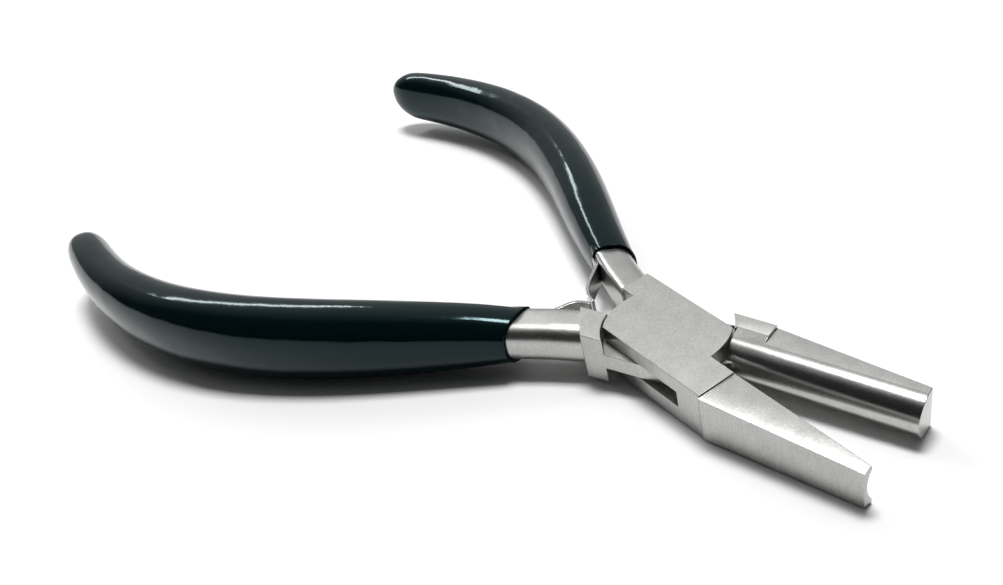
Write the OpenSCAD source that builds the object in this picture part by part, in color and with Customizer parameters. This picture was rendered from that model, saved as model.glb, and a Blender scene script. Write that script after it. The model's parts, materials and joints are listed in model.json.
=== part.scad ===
// Box-joint forming pliers for jewellery: a half-round jaw closes into a concave jaw.
// The origin is on the pivot axis at the underside of the box joint. +X runs along the
// centre line to the jaws, +Y lies towards the handle of the box half, +Z is up.
// Both halves are drawn closed, with the centre line on X, and then turned open.

/* [Overall] */
// Pivot axis to the tips of the jaws
jaw_reach = 33.8; // [30:0.2:40]
// Pivot axis to the ends of the grips
handle_reach = 96.2; // [88:0.2:110]
// Turn of each half from the centre line where the springs hold the pliers open
rest_angle = 10.8; // [8:0.2:14]

/* [Box joint] */
// Thickness of the box
box_t = 6.8; // [5.7:0.1:8]
// Width of the box
box_w = 11; // [9.2:0.1:13]
// Thickness of the middle plate of the male half
plate_t = 2.3; // [1.9:0.1:2.8]
// Radius of the rear end of the box cheeks
rear_r = 7.8; // [7.2:0.1:8.6]
// Radius of the front end of the box cheeks
front_r = 8.7; // [8.2:0.1:9.4]
// How far the middle plate reaches past the front end of the cheeks, into the slot
plate_over = 1.2; // [0.8:0.1:1.6]
// Radius of the pivot pin
pin_r = 2; // [1.6:0.1:2.4]

/* [Jaws] */
// Distance from the pivot to the step where the box ends and the jaws begin
step_x = 12.9; // [12:0.1:15]
// Radius of the half-round jaw
round_r = 3; // [2.4:0.1:3.2]
// Radius of the groove in the concave jaw
groove_r = 3.8; // [3.7:0.1:4.4]
// Thickness of the concave jaw at its tip
concave_tip = 1.3; // [1.25:0.05:1.6]
// Distance from the closing line to the back of the half-round jaw at its tip
round_tip = 3.5; // [3.2:0.1:4.2]
// How far the half-round jaw bulges past the closing line
bulge = 0.65; // [0.5:0.05:0.7]

/* [Handles] */
// Half width of the bare neck of the box half
box_neck_w = 2.45; // [2.2:0.05:2.8]
// Half width of the bare neck of the male half
male_neck_w = 2.8; // [2.4:0.05:3]
// Half height of the bare neck
neck_h = 2.8; // [2.4:0.1:3.1]
// Height of the middle of the handles above the underside of the box
handle_z = 3.7; // [3.3:0.1:4.2]
// Part of the handle's length that is left bare
bare = 0.116; // [0.1:0.002:0.14]
// Skew of the grips' mouths from a square cut
mouth_skew = 18; // [0:1:22]
// Half width of the grip at its widest
grip_w = 4.2; // [3.8:0.1:4.8]
// Half height of the grip at its tallest
grip_h = 5.9; // [5.2:0.1:6.6]

/* [Springs] */
// Thickness of each leaf spring
leaf_t = 0.45; // [0.35:0.05:0.6]
// Width of each leaf spring
leaf_w = 3.4; // [2.8:0.1:4]
// Distance from the pivot to where the two leaves meet
leaf_meet = 12.6; // [12.4:0.1:13.6]

/* [Fits] */
// Running clearance of the pin and of the middle plate
run_gap = 0.05; // [0.03:0.01:0.08]
// Clearance between the round shoulders of the two halves
arc_gap = 0.2; // [0.15:0.05:0.3]
// Clearance between the closed jaws
jaw_gap = 0.1; // [0.08:0.02:0.2]
// Clearance of a piece that is pressed or welded on another
seat_gap = 0.01; // [0.01:0.01:0.03]
// Half the gap between the meeting ends of the two leaf springs
leaf_gap = 0.5; // [0.48:0.02:0.8]

/* [Hidden] */
$fn = 96;

steel = "#c4c6c4";
dark_green = "#0d2b2d";
half_w = box_w / 2;
mid_z = box_t / 2;
cut = 1;                    // how far a cutting shape runs past what it cuts
concave_turn = 0.6;         // turn of each jaw from its own half's centre line
round_turn = 3.5;
box_jaw_drop = 0.3;         // step from the box down to the concave jaw
tip_rise = 0.55;            // slope of the concave jaw's underside and top to the tip
slot_t = plate_t + 2 * run_gap;
plate_r = front_r + plate_over;
rear_plate_r = rear_r + 0.6;
rear_root_x = 10.2;         // where the box ends and the neck begins
root_in = 1.2;              // inner edge of the box half's handle root
block_in = 0.5;             // inner edge of the male half's rear block
block_out_x = 9;            // rear corners of the male half's rear block
block_in_x = 12.1;
round_y = round_r - bulge;  // centre of the half-round jaw
back_h = min(round_r, mid_z);   // half height of the flat-sided back of that jaw
block_y = half_w + 0.25;    // back of the male half's front block
groove_y = groove_r - bulge - jaw_gap;

// What differs between the two handles: the half width of the neck, the shifts away from
// the centre line at the root and at the end, and the skew of the grip's mouth
BOX_SIDE = [box_neck_w, 0.1, 0.5, -mouth_skew];
MALE_SIDE = [male_neck_w, -0.7, -0.1, mouth_skew];

// ---- Handle line: one cubic curve from the box root to the end of the grip ----
handle_start = [-9.5, 3.2];
handle_out = [-37, 9.2];
handle_back = [-58, 32.7];
handle_end = [-handle_reach, 11.5];

function handle_at(u, side) =
    [0, side[1] * pow(1 - u, 2) + side[2] * u]
    + pow(1 - u, 3) * handle_start + 3 * pow(1 - u, 2) * u * handle_out
    + 3 * (1 - u) * u * u * handle_back + pow(u, 3) * handle_end;
function handle_run(u) =
    3 * pow(1 - u, 2) * (handle_out - handle_start) + 6 * (1 - u) * u * (handle_back - handle_out)
    + 3 * u * u * (handle_end - handle_back);
// Unit vector across the handle, pointing away from the other handle
function handle_side(u) = let (d = handle_run(u)) [d.y, -d.x] / norm(d);
function turned(p, a) = [p.x * cos(a) - p.y * sin(a), p.x * sin(a) + p.y * cos(a)];

// ---- Rounded section: half superellipses, squarer as power rises ----
function section_point(a, inner, outer) =
    let (power = cos(a) < 0 ? inner : outer)
    [sign(cos(a)) * pow(abs(cos(a)), 2 / power), sign(sin(a)) * pow(abs(sin(a)), 2 / power)];
function ring(u, side, w, h, powers, sides, skew = 0) =
    let (c = handle_at(u, side), s = turned(handle_side(u), skew) / cos(skew))
    [for (i = [0 : sides - 1])
        let (p = section_point(360 * (i + 0.5) / sides, powers[0], powers[1]))
        [c.x + s.x * w * p.x, c.y + s.y * w * p.x, handle_z + h * p.y]];

// A closed tube through rings that all have the same number of points
module skin(rings) {
    n = len(rings[0]);
    last = len(rings) - 1;
    polyhedron(
        points = [for (r = rings) each r],
        faces = concat(
            [[for (i = [n - 1 : -1 : 0]) i]],
            [for (k = [0 : last - 1], i = [0 : n - 1])
                let (j = (i + 1) % n)
                each [[k * n + i, (k + 1) * n + j, (k + 1) * n + i],
                      [k * n + i, k * n + j, (k + 1) * n + j]]],
            [[for (i = [0 : n - 1]) last * n + i]]),
        convexity = 6);
}

// ---- Tang: the bare neck, and its narrower blade inside the grip ----
tang_sides = 24;
tang_steps = 14;
tang_end = 0.9;
tang_powers = [7, 2.6];     // flat towards the other handle, round on the outside
function tang_w(u, side) = side[0] * (u < bare ? 1 : 1 - 0.35 * (u - bare));
function tang_h(u) = neck_h * (u < bare ? 1 : 1 - 0.25 * (u - bare));

module tang(side) {
    skin([for (k = [0 : tang_steps]) let (u = tang_end * k / tang_steps)
        ring(u, side, tang_w(u, side), tang_h(u), tang_powers, tang_sides)]);
}

// ---- Grip: a dipped sleeve, thin at its mouth and fuller along the palm ----
grip_sides = 32;
grip_steps = 30;
bore_steps = 14;
grip_powers = [2.5, 2.3];
mouth_wall = 0.55;
coat_gap = 0.15;            // keeps the facets of the bore off the facets of the tang
cap_from = 0.955;           // where the grip starts to close in to its round end
function palm(u) = sin(180 * pow((u - bare) / (1 - bare), 0.85));
function cap(u) = u < cap_from ? 1 : sqrt(max(0.02, 1 - pow((u - cap_from) / (1 - cap_from), 2)));
function mouth_turn(u, side) = side[3] * max(0, 1 - (u - bare) / 0.12);
function grip_half(u, mouth, tail, most) =
    let (t = (u - bare) / (1 - bare))
    cap(u) * (mouth + (tail - mouth) * t + (most - (mouth + tail) / 2) * palm(u));
function grip_ring(u, side) = ring(u, side,
    grip_half(u, side[0] + mouth_wall, 2.8, grip_w),
    grip_half(u, neck_h + mouth_wall + 0.1, neck_h + 1.6, grip_h),
    grip_powers, grip_sides, mouth_turn(u, side));
function bore_ring(u, side) = ring(u, side,
    tang_w(u, side) + coat_gap, tang_h(u) + coat_gap,
    tang_powers, grip_sides, mouth_turn(u, side));

module grip(side) {
    bore_end = tang_end + 0.002;
    color(dark_green) skin(concat(
        [for (k = [bore_steps : -1 : 0]) bore_ring(bare + (bore_end - bare) * k / bore_steps, side)],
        [for (k = [0 : grip_steps]) grip_ring(bare + (cap_from - bare) * k / grip_steps, side)],
        [for (a = [15 : 15 : 90]) grip_ring(cap_from + (1 - cap_from) * sin(a), side)]));
}

// ---- Plan outlines of the box joint ----
module band() {
    translate([-2 * front_r, -half_w]) square([4 * front_r, box_w]);
}
module front_side() { translate([0, -3 * box_w]) square(6 * box_w); }
// A disc with one radius behind the pivot and another in front of it
module two_disc(rear, front) {
    circle(rear);
    intersection() { circle(front); front_side(); }
}

module box_outline() {
    intersection() { two_disc(rear_r, front_r); band(); }
    translate([0, -half_w]) square([step_x, half_w]);
    translate([-rear_root_x, root_in]) square([rear_root_x, half_w - root_in]);
}

module plate_outline() {
    intersection() { two_disc(rear_plate_r, plate_r); band(); }
}

module rear_block_outline() {
    difference() {
        polygon([[0, -half_w], [-block_out_x, -half_w], [-block_in_x, -block_in], [0, -block_in]]);
        circle(rear_r + arc_gap);
    }
}

// ---- Jaws, each drawn with the closing line on X ----
module concave_jaw() {
    root_x = step_x - cut;
    intersection() {
        linear_extrude(box_t)
            polygon([[root_x, 0], [jaw_reach, 0], [jaw_reach, -concave_tip],
                     [step_x, -half_w - 0.3], [root_x, -half_w]]);
        rotate([90, 0, 0]) linear_extrude(4 * box_w, center = true)
            polygon([[root_x, box_jaw_drop], [step_x, 0], [jaw_reach, tip_rise],
                     [jaw_reach, box_t - tip_rise], [step_x, box_t - box_jaw_drop],
                     [root_x, box_t - box_jaw_drop]]);
    }
}

module groove() {
    translate([front_r + arc_gap / 4, groove_y, mid_z]) rotate([0, 90, 0])
        cylinder(r = groove_r, h = jaw_reach);
}

module half_round_jaw() {
    // the round nose, full length
    intersection() {
        translate([0, round_y, mid_z]) rotate([0, 90, 0]) cylinder(r = round_r, h = jaw_reach);
        linear_extrude(box_t) round_jaw_outline();
    }
    // the flat-sided back of the nose
    translate([0, 0, mid_z - back_h]) linear_extrude(2 * back_h) intersection() {
        round_jaw_outline();
        translate([0, round_y]) square([jaw_reach, box_w]);
    }
}

module round_jaw_outline() {
    difference() {
        polygon([[0, -bulge - cut], [jaw_reach, -bulge - cut], [jaw_reach, round_tip],
                 [step_x, block_y], [0, block_y]]);
        circle(front_r + arc_gap);
    }
}

module front_block() {
    difference() {
        union() {
            translate([0, round_y, mid_z]) rotate([0, 90, 0]) cylinder(r = back_h, h = step_x);
            translate([0, round_y, 0]) cube([step_x, block_y - round_y, box_t]);
        }
        translate([0, 0, -cut]) cylinder(r = front_r + arc_gap, h = box_t + 2 * cut);
    }
}

// ---- The two forged halves ----
module slot_layer(t) { translate([0, 0, mid_z - t / 2]) linear_extrude(t) children(); }
module open_box_half() { rotate(-rest_angle) children(); }
module open_male_half() { rotate(rest_angle) children(); }

module box_half() {
    color(steel) open_box_half() {
        tang(BOX_SIDE);
        difference() {
            union() {
                linear_extrude(box_t) box_outline();
                rotate(concave_turn) concave_jaw();
            }
            rotate(concave_turn) groove();
            slot_layer(slot_t) two_disc(rear_plate_r + arc_gap, plate_r + arc_gap);
            translate([0, 0, -cut]) cylinder(r = pin_r + seat_gap, h = box_t + 2 * cut);
        }
    }
}

module male_half() {
    color(steel) open_male_half() {
        mirror([0, 1, 0]) tang(MALE_SIDE);
        linear_extrude(box_t) rear_block_outline();
        difference() {
            slot_layer(plate_t) plate_outline();
            cylinder(r = pin_r + run_gap, h = box_t);
        }
        rotate(-round_turn) {
            half_round_jaw();
            front_block();
        }
    }
}

module pivot_pin() {
    color(steel) cylinder(r = pin_r, h = box_t);
}

// ---- Leaf springs: a foot on the neck, then a bow whose free end meets the other leaf ----
leaf_steps = 14;
foot_run = 0.02;            // part of the handle line that the foot covers
handle_length = 75;         // millimetres that the handle line runs per unit of u near its root
// The foot starts just in front of the inner lip of the grip's skewed mouth
function foot_from(side) = bare - 0.004 - tan(side[3]) * (side[0] + mouth_wall) / handle_length;
leaf_leave = -48;           // heading where the bow leaves the foot
leaf_arrive = -2;           // heading at the free end
leaf_pull = 3;

function heading(a) = [cos(a), sin(a)];

module leaf(side) {
    function foot(u) = handle_at(u, side) - handle_side(u) * (side[0] + seat_gap);
    start = foot(foot_from(side) - foot_run);
    tip = turned([-leaf_meet, leaf_gap], rest_angle);
    bow = [for (k = [0 : leaf_steps]) let (t = k / leaf_steps)
        pow(1 - t, 3) * start + 3 * pow(1 - t, 2) * t * (start + leaf_pull * heading(leaf_leave))
        + 3 * (1 - t) * t * t * (tip - leaf_pull * heading(leaf_arrive)) + pow(t, 3) * tip];
    line = concat([foot(foot_from(side))], bow);
    last = len(line) - 1;
    across = [for (k = [0 : last])
        let (d = line[min(k + 1, last)] - line[max(k - 1, 0)]) [d.y, -d.x] / norm(d)];
    color(steel) translate([0, 0, handle_z - leaf_w / 2]) linear_extrude(leaf_w)
        polygon(concat(line, [for (k = [last : -1 : 0]) line[k] + leaf_t * across[k]]));
}

module box_half_spring() { open_box_half() leaf(BOX_SIDE); }
module male_half_spring() { open_male_half() mirror([0, 1, 0]) leaf(MALE_SIDE); }
module box_half_grip() { open_box_half() grip(BOX_SIDE); }
module male_half_grip() { open_male_half() mirror([0, 1, 0]) grip(MALE_SIDE); }

box_half();
male_half();
pivot_pin();
box_half_spring();
male_half_spring();
box_half_grip();
male_half_grip();
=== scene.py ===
# %% [markdown]
# # Forming pliers with a box joint
# A small hand tool for jewellery work. Two forged and ground steel halves cross in a box
# joint, one jaw is half round and closes into a concave jaw, two leaf springs hold the
# tool open, and each handle is dipped in dark green PVC. This lesson dresses the packed
# model for a still view: it copies the pieces whose shape is already right, softens
# their edges, makes the finishes out of nodes, and lights them on a pale table.

import json
import math
from contextlib import contextmanager

import bpy
from mathutils import Matrix, Vector

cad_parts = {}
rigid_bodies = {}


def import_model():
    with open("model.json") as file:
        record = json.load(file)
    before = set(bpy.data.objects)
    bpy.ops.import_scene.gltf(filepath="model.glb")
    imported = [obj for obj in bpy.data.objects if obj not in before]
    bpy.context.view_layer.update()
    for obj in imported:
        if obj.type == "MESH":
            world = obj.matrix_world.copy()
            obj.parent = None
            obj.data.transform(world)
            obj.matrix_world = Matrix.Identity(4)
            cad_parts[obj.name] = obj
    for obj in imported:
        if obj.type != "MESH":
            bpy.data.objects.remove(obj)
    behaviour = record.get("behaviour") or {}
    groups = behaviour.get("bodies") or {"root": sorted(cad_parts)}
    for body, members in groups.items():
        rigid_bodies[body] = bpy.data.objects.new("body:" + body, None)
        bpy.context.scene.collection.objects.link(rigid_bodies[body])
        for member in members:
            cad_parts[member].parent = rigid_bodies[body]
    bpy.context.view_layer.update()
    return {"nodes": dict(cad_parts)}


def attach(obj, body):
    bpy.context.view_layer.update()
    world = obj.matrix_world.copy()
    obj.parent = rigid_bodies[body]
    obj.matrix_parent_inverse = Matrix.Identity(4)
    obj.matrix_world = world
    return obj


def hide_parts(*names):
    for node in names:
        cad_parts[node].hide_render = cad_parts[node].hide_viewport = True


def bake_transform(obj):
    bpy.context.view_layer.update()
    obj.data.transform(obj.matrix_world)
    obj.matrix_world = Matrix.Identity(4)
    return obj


bpy.ops.object.select_all(action="SELECT")
bpy.ops.object.delete()
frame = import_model()
MM = 0.001
print("pieces:", sorted(frame["nodes"]))

# %% [markdown]
# ## The camera
# The tool lies on a table and is seen from the side of its jaws, from a little above. It
# stands close, so the jaws look large and the handles run away from it. A sideways shift
# of the lens brings the handles into view without turning the camera.

# %% Camera
EYE = Vector((69.544, -69.422, 85.050)) * MM
HEADING, DIP, ROLL = math.radians(129.2466), math.radians(37.2136), math.radians(-4.9841)
FOCAL, SENSOR, SHIFT_X = 36.146, 36.0, -0.2393

lens = bpy.data.cameras.new("camera")
lens.lens, lens.sensor_width = FOCAL, SENSOR
lens.shift_x = SHIFT_X
lens.clip_start, lens.clip_end = 5 * MM, 10.0
camera = bpy.data.objects.new("camera", lens)
bpy.context.collection.objects.link(camera)
turn = (Matrix.Rotation(HEADING - math.pi / 2, 4, "Z")
        @ Matrix.Rotation(math.pi / 2 - DIP, 4, "X") @ Matrix.Rotation(ROLL, 4, "Z"))
camera.matrix_world = Matrix.Translation(EYE) @ turn
bpy.context.scene.camera = camera
print("camera is", round(EYE.length / MM), "mm from the pivot")

# %% [markdown]
# ## The node helper
# Node trees are long to write by hand. A Wire holds one output socket: sums and products
# of wires add Math nodes, and add() makes any other node from its type, its settings and
# the values or wires of its inputs. A finish starts from the object's own coordinates in
# metres, so its pattern keeps its real size and stays on the piece when the piece moves.

# %% Wires
class Wire:
    def __init__(self, tree, socket=None):
        self.tree, self.socket = tree, socket

    def add(self, kind, inputs, out=0, **settings):
        node = self.tree.nodes.new(kind)
        stops = settings.pop("stops", None)
        for name, value in settings.items():
            setattr(node, name, value)
        if stops:
            ramp = node.color_ramp.elements
            while len(ramp) < len(stops):
                ramp.new(0.5)
            for stop, (place, grey) in zip(ramp, stops):
                stop.position, stop.color = place, (grey, grey, grey, 1)
        for name, value in inputs.items():
            if isinstance(value, Wire):
                self.tree.links.new(value.socket, node.inputs[name])
            else:
                node.inputs[name].default_value = value
        return Wire(self.tree, node.outputs[out])

    def combine(self, operation, other):
        return self.add("ShaderNodeMath", {0: self, 1: other}, operation=operation)

    def __add__(self, other): return self.combine("ADD", other)
    def __mul__(self, other): return self.combine("MULTIPLY", other)
    __radd__, __rmul__ = __add__, __mul__


def finish_of(name):
    """A new material: (material, its shader node, a wire with the place in metres)."""
    material = bpy.data.materials.new(name)
    material.use_nodes = True
    tree = material.node_tree
    place = Wire(tree).add("ShaderNodeTexCoord", {}, out="Object")
    return material, tree.nodes["Principled BSDF"], place


def noise(place, per_metre, detail=3.0, roughness=0.5):
    """Noise from 0 to 1, with its own number of grains per metre along X, Y and Z."""
    grid = place.add("ShaderNodeMapping", {"Vector": place, "Scale": per_metre})
    return place.add("ShaderNodeTexNoise", {
        "Vector": grid, "Scale": 1.0, "Detail": detail, "Roughness": roughness}, out="Fac")


def feed(shader, place, socket, value):
    """Sets one input of the shader, from a wire or from a plain value."""
    if isinstance(value, Wire):
        place.tree.links.new(value.socket, shader.inputs[socket])
    else:
        shader.inputs[socket].default_value = value


print("node helpers ready")

# %% [markdown]
# ## Satin steel
# The halves are ground on a belt and then lightly blasted, so they look silver grey
# rather than mirror bright. The blasted faces are also painted a darker grey than the
# ground ones: painted shade that tones down the flat faces facing up or down under the
# light from above. The belt leaves short upright lines on the sides, which on
# the flat faces show end on as a fine speckle. One noise, much finer across than along,
# does both; a coarser one gives the cloudy patches that handling leaves. The working
# face of the half-round jaw is polished brighter, so that it does not mark the wire.

# %% Steel finish
# The blasted shade is darker than the ground one as painted shade: it dims the flat faces
# facing up or down, which the soft box above lights brightly.
BLAST_SHADE_WITH_PAINTED_SHADE = (0.375, 0.38, 0.365)
GROUND_SHADE = (0.46, 0.465, 0.45)
SPRING_SHADE = (0.46, 0.46, 0.45)
CLOUDS_PER_M, SPECKS_PER_M = 420, 4200
BLAST_LINES = (5200, 5200, 700)
GROUND_LINES = (5200, 5200, 420)
SPRING_LINES = (900, 900, 5000)


def satin_steel(name, shade, dull, lines, line_depth):
    material, shader, place = finish_of(name)
    grain = noise(place, lines, detail=4.0, roughness=0.6)
    cloud = noise(place, (CLOUDS_PER_M,) * 3, detail=3.0)
    speck = noise(place, (SPECKS_PER_M,) * 3, detail=2.0)
    light = 0.46 + 0.42 * grain + 0.22 * cloud + 0.44 * speck
    tint = place.add("ShaderNodeVectorMath", {0: shade, 3: light}, operation="SCALE")
    feed(shader, place, "Base Color", tint)
    feed(shader, place, "Metallic", 1.0)
    feed(shader, place, "Roughness", dull - 0.07 + 0.10 * grain + 0.04 * cloud)
    height = grain + 0.5 * speck
    feed(shader, place, "Normal", place.add("ShaderNodeBump", {
        "Height": height, "Strength": 0.45, "Distance": line_depth}))
    return material


# The blasted steel carries the darker colour, painted shade for the faces under the light from
# above.
blasted_and_shaded = satin_steel("blasted_shaded_steel", BLAST_SHADE_WITH_PAINTED_SHADE, 0.42, BLAST_LINES, 0.02 * MM)
ground = satin_steel("ground_steel", GROUND_SHADE, 0.31, GROUND_LINES, 0.02 * MM)
polished = satin_steel("polished_steel", GROUND_SHADE, 0.22, GROUND_LINES, 0.01 * MM)
spring_steel = satin_steel("spring_steel", SPRING_SHADE, 0.26, SPRING_LINES, 0.004 * MM)
print("steel finishes:", [m.name for m in (blasted_and_shaded, ground, polished, spring_steel)])

# %% [markdown]
# ## Dipped PVC
# Each handle is dipped warm into liquid PVC, which sets as one thick glossy skin. It is so
# dark that its green shows only where light reaches it, so the colour is nearly black and
# the gloss does the rest. A dipped skin is never quite even: a slow noise in the
# roughness and in the bump makes the long highlights waver.

# %% Grip finish
DARK_GREEN = (0.0006, 0.0042, 0.0052, 1)
LIT_GREEN = (0.0012, 0.0075, 0.0090, 1)
COOL_GLOSS = (0.62, 0.95, 1.0, 1)
WAVES_PER_M, PORES_PER_M = 90, 1500
WAVE_DEPTH = 0.5 * MM


def dipped_pvc():
    material, shader, place = finish_of("dipped_pvc")
    slow = noise(place, (WAVES_PER_M,) * 3, detail=2.0)
    fine = noise(place, (PORES_PER_M,) * 3, detail=2.0)
    colour = place.add("ShaderNodeMix", {0: slow, 6: DARK_GREEN, 7: LIT_GREEN},
                       out=2, data_type="RGBA")
    feed(shader, place, "Base Color", colour)
    feed(shader, place, "Roughness", 0.06 + 0.06 * slow + 0.02 * fine)
    feed(shader, place, "IOR", 1.5)
    feed(shader, place, "Specular IOR Level", 0.27)
    feed(shader, place, "Specular Tint", COOL_GLOSS)
    feed(shader, place, "Normal", place.add("ShaderNodeBump", {
        "Height": slow + 0.03 * fine, "Strength": 0.5, "Distance": WAVE_DEPTH}))
    return material


pvc = dipped_pvc()
print("grip finish:", pvc.name, "with", len(pvc.node_tree.nodes), "nodes")

# %% [markdown]
# ## Copying a piece to work on
# The measured pieces are never changed. Their meshes are loose triangles, so a copy has
# its doubles merged first, and its flat faces joined, before an edge can be bevelled.

# %% Copy helper
WELD = 0.002 * MM


def only(piece):
    """Selects one object and makes it the active one."""
    bpy.ops.object.select_all(action="DESELECT")
    piece.select_set(True)
    bpy.context.view_layer.objects.active = piece


@contextmanager
def editing(select_mode="EDGE"):
    """Edit mode for the lines inside, with nothing left selected after them."""
    bpy.ops.object.mode_set(mode="EDIT")
    bpy.ops.mesh.select_mode(type=select_mode)
    yield
    bpy.ops.mesh.select_all(action="DESELECT")
    bpy.ops.object.mode_set(mode="OBJECT")


def working_copy(node, name, flat_angle):
    source = frame["nodes"][node]
    piece = source.copy()
    piece.data = source.data.copy()
    piece.name = piece.data.name = name
    bpy.context.collection.objects.link(piece)
    piece.parent = None
    piece.matrix_world = Matrix.Identity(4)
    only(piece)
    bpy.ops.mesh.customdata_custom_splitnormals_clear()
    with editing():
        bpy.ops.mesh.select_all(action="SELECT")
        bpy.ops.mesh.remove_doubles(threshold=WELD)
        bpy.ops.mesh.mark_sharp(clear=True)
        if flat_angle:
            bpy.ops.mesh.dissolve_limited(angle_limit=math.radians(flat_angle))
    return piece


FLAT = 0.3
halves = {node: working_copy(node, node + "_steel", FLAT) for node in ("box_half", "male_half")}
for half in halves.values():
    print(half.name, "starts with", len(half.data.polygons), "faces")

# %% [markdown]
# ## Picking edges and points
# A script cannot click on an edge, so it picks by place: a test gets the middle of each
# edge, its run and how sharply its two faces fold, in millimetres and degrees. The jaws
# and the plate stand turned about the pivot, and their tests are easier to write in a
# frame that turns with them.

# %% Picking helpers
BOX_JAW_TURN, ROUND_JAW_TURN, PLATE_TURN = -10.2, 7.3, 10.8


def turned_frame(point, angle):
    """A place measured in a frame that is turned by an angle about the pivot."""
    c, s = math.cos(math.radians(angle)), math.sin(math.radians(angle))
    return Vector((point.x * c + point.y * s, point.y * c - point.x * s, point.z))


def pick_edges(piece, test, hollow=False):
    """Selects the edges that pass a test and counts them; hollow keeps inside corners."""
    only(piece)
    mesh = piece.data
    sides_of = {}
    for face in mesh.polygons:
        for key in face.edge_keys:
            sides_of.setdefault(key, []).append((face.normal.copy(), face.center.copy()))
    with editing("EDGE"):
        bpy.ops.mesh.select_all(action="DESELECT")
    count = 0
    for edge in mesh.edges:
        sides = sides_of.get(edge.key, [])
        if len(sides) != 2:
            continue
        (normal, centre), (other_normal, other_centre) = sides
        a, b = (mesh.vertices[i].co for i in edge.vertices)
        fold = math.degrees(normal.angle(other_normal, 0.0))
        if hollow and (other_centre - centre).dot(normal) <= 0:
            continue
        if test((a + b) / 2 / MM, (b - a) / MM, fold):
            edge.select = True
            count += 1
    return count


def pick_points(piece, test, angle):
    """Selects the points that pass a test in a turned frame and counts them."""
    only(piece)
    count = 0
    for vertex in piece.data.vertices:
        vertex.select = test(turned_frame(vertex.co / MM, angle))
        count += vertex.select
    return count


def bevel_picked(width, segments, clamp=True):
    with editing("EDGE"):
        bpy.ops.mesh.bevel(offset=width * MM, offset_type="OFFSET", segments=segments,
                           profile=0.5, clamp_overlap=clamp)


print("picking helpers ready")

# %% [markdown]
# ## The crowned top of the concave jaw
# The top of the concave jaw is dressed by hand on the belt, which always takes a little
# more off near the outer edge. Moving one edge down would only tilt the face, so the flat
# top is first cut into strips along the jaw, and each strip is then lowered a little more
# than the one before it. The edge itself is rounded with a bevel.

# %% Crown the concave jaw
TOP_Z, JAW_STEP_X, JAW_BACK_Y = 6.8, 12.9, -5.8
JAW_RUN = Vector((20.9, 4.5, 0))
ON_JAW_X, NEAR_TOP_Z, LEVEL = 13.2, 5.5, 0.95
CROWN_WIDTH, CROWN_DROP, CROWN_CUTS = 3.0, 0.32, 6
JAW_ROUND = 0.45


def crown_jaw_top(half):
    turn = Matrix.Rotation(math.radians(BOX_JAW_TURN), 3, "Z")
    along = turn @ JAW_RUN.normalized()
    across = Vector((-along.y, along.x, 0))
    edge = turn @ Vector((JAW_STEP_X, JAW_BACK_Y, TOP_Z))
    only(half)
    for k in range(CROWN_CUTS):
        line = edge + across * CROWN_WIDTH * (k + 1) / CROWN_CUTS
        for face in half.data.polygons:
            place = turned_frame(face.center / MM, BOX_JAW_TURN)
            on_top = place.x > ON_JAW_X and place.z > NEAR_TOP_Z
            face.select = on_top and face.normal.z > LEVEL
        with editing("FACE"):
            bpy.ops.mesh.bisect(plane_co=line * MM, plane_no=across)
    for vertex in half.data.vertices:
        place = turned_frame(vertex.co / MM, BOX_JAW_TURN)
        inset = (vertex.co / MM - edge).dot(across) / CROWN_WIDTH
        if place.x > JAW_STEP_X and place.z > NEAR_TOP_Z and inset < 1:
            run_in = min(1, place.x - JAW_STEP_X)
            vertex.co.z -= CROWN_DROP * (1 - inset) ** 2 * MM * run_in


def jaw_top_edge(middle, run, fold):
    place = turned_frame(middle, BOX_JAW_TURN)
    back = JAW_BACK_Y + (place.x - JAW_STEP_X) * JAW_RUN.y / JAW_RUN.x
    on_top = place.x > ON_JAW_X and place.z > NEAR_TOP_Z
    return fold > 60 and on_top and abs(place.y - back) < 0.35 and abs(run.z) < 2


crown_jaw_top(halves["box_half"])
print("jaw edges rounded:", pick_edges(halves["box_half"], jaw_top_edge))
bevel_picked(JAW_ROUND, segments=5)

# %% [markdown]
# ## The front block of the male half
# Where the front block meets the half-round jaw, the step is ground to a slope and not
# cut square. The two points of its inner top edge are picked and slid outwards.

# %% Slope the front block
BLOCK_EDGE_Y, SLOPE_RUN = 2.35, 1.2


def block_top_edge(place):
    return (abs(place.y - BLOCK_EDGE_Y) < 0.05 and abs(place.z - TOP_Z) < 0.02
            and 7 < place.x < 13.5)


print("block points:", pick_points(halves["male_half"], block_top_edge, ROUND_JAW_TURN))
with editing("VERT"):
    bpy.ops.transform.translate(
        value=turned_frame(Vector((0, SLOPE_RUN, 0)), -ROUND_JAW_TURN) * MM)

# %% [markdown]
# ## The middle plate
# The plate of the male half runs through the slot of the other one. Its front would show
# as a bright corner behind the groove of the concave jaw, so those points are drawn in
# towards the pivot. The inside corners at the rear block get a fillet, as a forging has.

# %% Draw in the plate
PLATE_REACH, PLATE_Z, PLATE_DRAW = 9.9, 3.4, 0.89
FILLET = 0.9


def plate_front(place):
    reach = math.hypot(place.x, place.y)
    bearing = math.degrees(math.atan2(place.y, place.x))
    return abs(reach - PLATE_REACH) < 0.1 and -24 < bearing < -8.5


def block_hollow(middle, run, fold):
    """The inside corners where the bare neck meets the rear block of the male half."""
    place = turned_frame(middle, PLATE_TURN)
    return 12 < fold < 120 and -12.3 < place.x < -8.7 and place.y < -0.6


print("plate points:", pick_points(halves["male_half"], plate_front, PLATE_TURN))
with editing("VERT"):
    bpy.ops.transform.resize(value=(PLATE_DRAW, PLATE_DRAW, 1),
                             center_override=(0, 0, PLATE_Z * MM))
print("fillet edges:", pick_edges(halves["male_half"], block_hollow, hollow=True))
bevel_picked(FILLET, segments=4)

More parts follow.
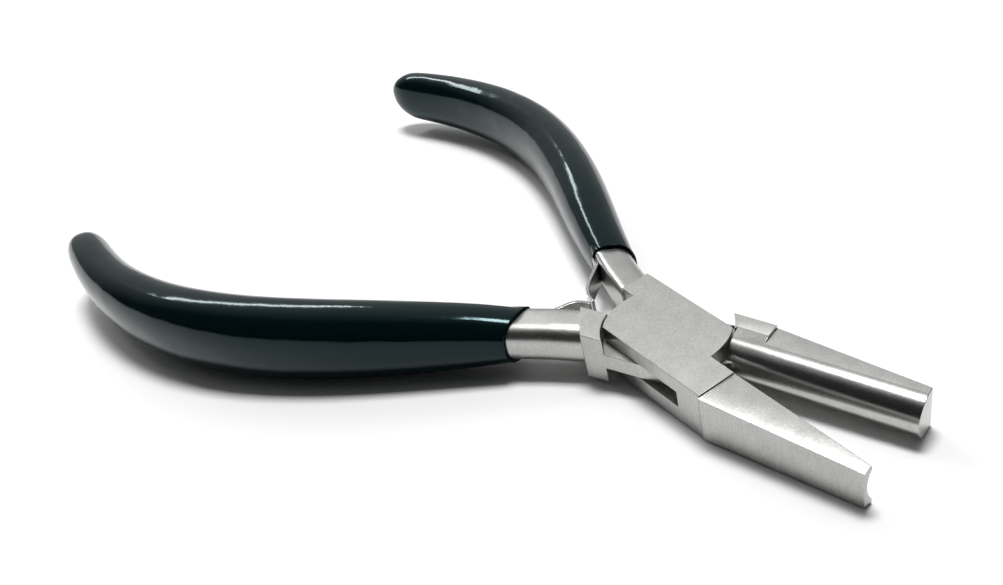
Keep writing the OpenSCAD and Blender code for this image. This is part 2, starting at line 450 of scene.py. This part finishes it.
# %% [markdown]
# ## The lands along the edges
# No ground edge is truly sharp: it carries a thin rounded land that catches the light and
# draws the shape. A bevel on every folded edge makes it. The bore of the pin is left
# alone, because the pin is ground flush with the cheeks and its outline must not show.
# So are the corners where many short edges meet, where a bevel would push points out
# into the other half when the jaws close.

# %% Edge lands
EDGE_LAND, FOLDED = 0.10, 28
NECK_X, BORE_REACH = -13.0, 2.3


def folded(middle, fold):
    in_bore = math.hypot(middle.x, middle.y) < BORE_REACH
    return fold > FOLDED and not in_bore and middle.x > NECK_X


def crisp_box(middle, run, fold):
    """Folded edges, but not where the groove of the jaw runs out into the slot."""
    in_notch = 7.9 < middle.x < 9.6 and -2.8 < middle.y < -0.6
    return folded(middle, fold) and not in_notch


def crisp_male(middle, run, fold):
    """Folded edges, but not where the jaw, the block and the plate run together."""
    in_notch = middle.x > 7.5 and 8.3 < math.hypot(middle.x, middle.y) < 10.1
    return folded(middle, fold) and not in_notch


for node, test in (("box_half", crisp_box), ("male_half", crisp_male)):
    print(node, "edges softened:", pick_edges(halves[node], test))
    bevel_picked(EDGE_LAND, segments=3, clamp=False)

# %% [markdown]
# ## Dressing the halves
# Smooth shading alone would bend the light on the flat faces near each land, so the
# normals are weighed by face area, and the big faces stay flat. The cheeks were blasted,
# and they are painted a darker grey than the ground steel, as painted shade that tones
# down the light falling on the faces that face up or down. The sides and the jaws were
# left as ground, and the half-round jaw was polished.

# %% Dress the halves
def smooth(piece, angle):
    """Smooth shading that keeps big flat faces flat: each normal is weighed by area."""
    only(piece)
    bpy.ops.object.shade_smooth_by_angle(angle=math.radians(angle))
    weigh = piece.modifiers.new("weigh", "WEIGHTED_NORMAL")
    weigh.keep_sharp, weigh.weight = True, 90
    bpy.ops.object.modifier_apply(modifier="weigh")


def dress(piece, finishes, node):
    piece.data.materials.clear()
    for finish in finishes:
        piece.data.materials.append(finish)
    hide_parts(node)
    print(piece.name, len(piece.data.polygons), "faces")


BOX_ENDS = (-10.5, 12.9)
GROUND, BLASTED_SHADED, POLISHED = range(3)
for node, body in (("box_half", "box_half_body"), ("male_half", "male_half_body")):
    half = halves[node]
    smooth(half, angle=34)
    dress(half, (ground, blasted_and_shaded, polished), node)
    for face in half.data.polygons:
        x, up = face.center.x / MM, abs(face.normal.z)
        # Faces that face up or down, between the ends of the box, get the blasted steel with
        # its darker colour as painted shade.
        if up > LEVEL and BOX_ENDS[0] < x < BOX_ENDS[1]:
            face.material_index = BLASTED_SHADED
        elif node == "male_half" and x > 7.5 and up < 0.998:
            face.material_index = POLISHED
        else:
            face.material_index = GROUND
    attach(half, body)

# %% [markdown]
# ## The pivot pin
# The pin keeps its measured shape: it is a plain ground cylinder whose two ends are flush.
# It only needs the darker blasted steel of the cheeks, with the same painted shade, which
# continues across it because the grain is laid out in the object's own coordinates.

# %% Pin
pin = frame["nodes"]["pivot_pin"]
pin.data.materials.clear()
pin.data.materials.append(blasted_and_shaded)
print("pin is", round(max(pin.dimensions) / MM, 1), "mm long")

# %% [markdown]
# ## The leaf springs
# Each spring is a strip of sheared spring steel, so its edges are broken by a hair. Its
# foot lies on the neck of its own half, and its free end always meets the other spring
# half way between the halves.

# %% Springs
BROKEN_EDGE = 0.07


def spring(node):
    strip = working_copy(node, node + "_strip", FLAT)
    print(node, "edges:", pick_edges(strip, lambda middle, run, fold: fold > 40))
    bevel_picked(BROKEN_EDGE, segments=2)
    smooth(strip, angle=30)
    dress(strip, (spring_steel,), node)
    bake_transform(strip)


spring("box_half_spring")
spring("male_half_spring")

# %% [markdown]
# ## The dipped grips
# The grips are fat and smooth, so the copy has its triangles joined to quads, its mouth
# rounded as liquid PVC rounds off, and then a subdivision to take the facets out. A
# little inward unevenness stays in the shape itself, as in any dipped skin.

# %% Grips
MOUTH_ROUND, DIP_DEPTH = 0.16, 0.12
wave = bpy.data.textures.new("dip_wave", "CLOUDS")
wave.noise_scale = 14 * MM


def grip(node, body):
    skin = working_copy(node, node + "_skin", 0)
    with editing():
        bpy.ops.mesh.select_all(action="SELECT")
        bpy.ops.mesh.tris_convert_to_quads(
            face_threshold=math.radians(60), shape_threshold=math.radians(60))
    print(node, "mouth edges:", pick_edges(skin, lambda middle, run, fold: fold > 60))
    bevel_picked(MOUTH_ROUND, segments=3)
    rounding = skin.modifiers.new("round", "SUBSURF")
    rounding.levels = rounding.render_levels = 2
    dent = skin.modifiers.new("wave", "DISPLACE")
    dent.texture, dent.texture_coords = wave, "LOCAL"
    dent.strength, dent.mid_level = DIP_DEPTH * MM, 1.0
    for name in ("round", "wave"):
        bpy.ops.object.modifier_apply(modifier=name)
    smooth(skin, angle=60)
    dress(skin, (pvc,), node)
    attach(skin, body)


grip("box_half_grip", "box_half_body")
grip("male_half_grip", "male_half_body")

# %% [markdown]
# ## The table
# The tool rests on the bellies of its two grips and on the tip of the half-round jaw, so
# the table top is a plane through those, a degree or two off the tool's own flat. It is
# matt and nearly white, so that only soft shadows show on it.

# %% Table
GRIP_REST = Vector((-55.0, 0.0, -2.16)) * MM
JAW_REST = Vector((33.0, 0.0, 0.38)) * MM
TABLE_SIZE, TABLE_WHITE = 6.0, 0.93

bpy.ops.object.select_all(action="DESELECT")
slope = math.atan2(JAW_REST.z - GRIP_REST.z, JAW_REST.x - GRIP_REST.x)
bpy.ops.mesh.primitive_plane_add(size=TABLE_SIZE, location=(GRIP_REST + JAW_REST) / 2,
                                 rotation=(0, -slope, 0))
table = bpy.context.object
table.name = "table"
top_finish, shader, place = finish_of("white_table")
feed(shader, place, "Base Color", (TABLE_WHITE, TABLE_WHITE, TABLE_WHITE, 1))
feed(shader, place, "Roughness", 0.85)
feed(shader, place, "Specular IOR Level", 0.1)
table.data.materials.append(top_finish)
print("table tilted by", round(math.degrees(slope), 2), "degrees")

# %% [markdown]
# ## The light
# Polished and satin metal show what stands round them. A soft box hangs above, the far
# side of the room is light grey, so that the flat faces read as silver, and the near
# side is dark, which puts the dark band on the half-round jaw and on the grips. A long
# low strip on the far side draws the thin highlight along the grips.

# %% Light
BRIGHT_SIDE = (-0.63, 0.60, 0.49)
ROOM_GREYS = [(0.0, 0.01), (0.62, 0.03), (0.90, 0.56), (1.0, 0.66)]
MIDDLE = (-0.03, 0.0, 0.0)

world = bpy.data.worlds.new("studio")
bpy.context.scene.world = world
world.use_nodes = True
sky = Wire(world.node_tree)
look = sky.add("ShaderNodeTexCoord", {}, out="Generated")
facing = sky.add("ShaderNodeVectorMath", {0: look, 1: BRIGHT_SIDE},
                 out="Value", operation="DOT_PRODUCT")
glow = sky.add("ShaderNodeValToRGB", {0: facing * 0.5 + 0.5}, out="Color", stops=ROOM_GREYS)
background = world.node_tree.nodes["Background"]
world.node_tree.links.new(glow.socket, background.inputs["Color"])
background.inputs["Strength"].default_value = 1.0


def soft_box(name, place, width, depth, watts):
    data = bpy.data.lights.new(name, "AREA")
    data.shape, data.size, data.size_y, data.energy = "RECTANGLE", width, depth, watts
    lamp = bpy.data.objects.new(name, data)
    bpy.context.collection.objects.link(lamp)
    lamp.location = place
    lamp.rotation_mode = "QUATERNION"
    lamp.rotation_quaternion = (Vector(MIDDLE) - Vector(place)).to_track_quat("-Z", "Y")
    print(name, "gives", watts, "W")


soft_box("top_box", (-0.10, 0.13, 0.66), width=0.24, depth=0.15, watts=4.0)
soft_box("far_strip", (-0.60, 0.095, 0.433), width=0.40, depth=0.05, watts=1.05)
bpy.context.scene.view_settings.view_transform = "Standard"
